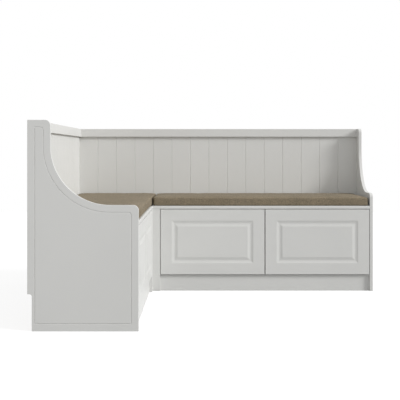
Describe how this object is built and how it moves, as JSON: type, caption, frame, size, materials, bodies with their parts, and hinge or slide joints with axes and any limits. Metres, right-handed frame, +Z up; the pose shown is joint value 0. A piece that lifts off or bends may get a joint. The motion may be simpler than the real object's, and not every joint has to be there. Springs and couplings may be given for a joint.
{
  "type": "corner storage bench",
  "caption": "Painted corner bench for two walls, with panelled fronts on storage drawers, boarded back, curved end panels and loose seat cushions.",
  "frame": {"origin": "on the floor, in the middle of the square that the two wings and their walls enclose", "axes": "+X from the left wall towards the open side, +Y towards the rear wall, +Z up"},
  "size_m": [1.6, 1.6, 0.855],
  "materials": {
    "paint": "satin paint on board, pale warm grey",
    "carcass_board": "white faced board, semi-matt",
    "softwood": "sawn and planed softwood, bare",
    "drawer_board": "lacquered birch plywood",
    "runner_steel": "zinc plated",
    "latch_plastic": "matt grey",
    "latch_tip": "matt pale grey",
    "cushion_fabric": "plain weave, taupe"
  },
  "bodies": {
    "bench": {"left_end_panel": "paint", "right_end_panel": "paint", "rear_backing_boards": "paint", "rear_top_rail": "paint", "rear_seat_board": "paint", "rear_corner_post": "paint", "rear_plinth_board": "paint", "rear_plinth_frame": "softwood", "rear_wall_bearer": "softwood", "rear_base_panel": "carcass_board", "rear_back_panel": "carcass_board", "rear_partitions": "carcass_board", "rear_stretchers": "carcass_board", "rear_cabinet_channels": "runner_steel", "rear_latch_housings": "latch_plastic", "left_backing_boards": "paint", "left_top_rail": "paint", "left_seat_board": "paint", "left_corner_post": "paint", "left_plinth_board": "paint", "left_plinth_frame": "softwood", "left_wall_bearer": "softwood", "left_base_panel": "carcass_board", "left_back_panel": "carcass_board", "left_partitions": "carcass_board", "left_stretchers": "carcass_board", "left_cabinet_channels": "runner_steel", "left_latch_housings": "latch_plastic", "corner_bearer": "softwood"},
    "rear_corner_drawer": {"rear_corner_front": "paint", "rear_corner_box_sides": "drawer_board", "rear_corner_box_ends": "drawer_board", "rear_corner_box_floor": "drawer_board", "rear_corner_drawer_channels": "runner_steel"},
    "rear_corner_runner": {"rear_corner_middle_channels": "runner_steel"},
    "rear_corner_latch": {"rear_corner_latch_plunger": "latch_tip"},
    "rear_end_drawer": {"rear_end_front": "paint", "rear_end_box_sides": "drawer_board", "rear_end_box_ends": "drawer_board", "rear_end_box_floor": "drawer_board", "rear_end_drawer_channels": "runner_steel"},
    "rear_end_runner": {"rear_end_middle_channels": "runner_steel"},
    "rear_end_latch": {"rear_end_latch_plunger": "latch_tip"},
    "left_corner_drawer": {"left_corner_front": "paint", "left_corner_box_sides": "drawer_board", "left_corner_box_ends": "drawer_board", "left_corner_box_floor": "drawer_board", "left_corner_drawer_channels": "runner_steel"},
    "left_corner_runner": {"left_corner_middle_channels": "runner_steel"},
    "left_corner_latch": {"left_corner_latch_plunger": "latch_tip"},
    "left_end_drawer": {"left_end_front": "paint", "left_end_box_sides": "drawer_board", "left_end_box_ends": "drawer_board", "left_end_box_floor": "drawer_board", "left_end_drawer_channels": "runner_steel"},
    "left_end_runner": {"left_end_middle_channels": "runner_steel"},
    "left_end_latch": {"left_end_latch_plunger": "latch_tip"},
    "rear_cushion": {"rear_cushion": "cushion_fabric"},
    "left_cushion": {"left_cushion": "cushion_fabric"}
  },
  "joints": [
    {"name": "rear_corner_drawer_slide", "type": "slide", "parent": "bench", "child": "rear_corner_drawer", "axis": [0, -1, 0], "range_m": [0, 0.35]},
    {"name": "rear_corner_runner_slide", "type": "slide", "parent": "bench", "child": "rear_corner_runner", "axis": [0, -1, 0], "range_m": [0, 0.175]},
    {"name": "rear_corner_latch_press", "type": "slide", "parent": "bench", "child": "rear_corner_latch", "axis": [0, 1, 0], "range_m": [0, 0.004], "stiffness_N_per_m": 400, "springref_m": -0.003},
    {"name": "rear_end_drawer_slide", "type": "slide", "parent": "bench", "child": "rear_end_drawer", "axis": [0, -1, 0], "range_m": [0, 0.35]},
    {"name": "rear_end_runner_slide", "type": "slide", "parent": "bench", "child": "rear_end_runner", "axis": [0, -1, 0], "range_m": [0, 0.175]},
    {"name": "rear_end_latch_press", "type": "slide", "parent": "bench", "child": "rear_end_latch", "axis": [0, 1, 0], "range_m": [0, 0.004], "stiffness_N_per_m": 400, "springref_m": -0.003},
    {"name": "left_corner_drawer_slide", "type": "slide", "parent": "bench", "child": "left_corner_drawer", "axis": [-1, 0, 0], "range_m": [-0.35, 0]},
    {"name": "left_corner_runner_slide", "type": "slide", "parent": "bench", "child": "left_corner_runner", "axis": [-1, 0, 0], "range_m": [-0.175, 0]},
    {"name": "left_corner_latch_press", "type": "slide", "parent": "bench", "child": "left_corner_latch", "axis": [-1, 0, 0], "range_m": [0, 0.004], "stiffness_N_per_m": 400, "springref_m": -0.003},
    {"name": "left_end_drawer_slide", "type": "slide", "parent": "bench", "child": "left_end_drawer", "axis": [1, 0, 0], "range_m": [0, 0.35]},
    {"name": "left_end_runner_slide", "type": "slide", "parent": "bench", "child": "left_end_runner", "axis": [1, 0, 0], "range_m": [0, 0.175]},
    {"name": "left_end_latch_press", "type": "slide", "parent": "bench", "child": "left_end_latch", "axis": [-1, 0, 0], "range_m": [0, 0.004], "stiffness_N_per_m": 400, "springref_m": -0.003},
    {"name": "rear_cushion_lift", "type": "slide", "parent": "bench", "child": "rear_cushion", "axis": [0, 0, 1], "range_m": [0, 0.3]},
    {"name": "left_cushion_lift", "type": "slide", "parent": "bench", "child": "left_cushion", "axis": [0, 0, 1], "range_m": [0, 0.3]}
  ],
  "couplings": [
    {"joint": "rear_corner_runner_slide", "follows": "rear_corner_drawer_slide", "ratio": 0.5},
    {"joint": "rear_end_runner_slide", "follows": "rear_end_drawer_slide", "ratio": 0.5},
    {"joint": "left_corner_runner_slide", "follows": "left_corner_drawer_slide", "ratio": 0.5},
    {"joint": "left_end_runner_slide", "follows": "left_end_drawer_slide", "ratio": 0.5}
  ]
}
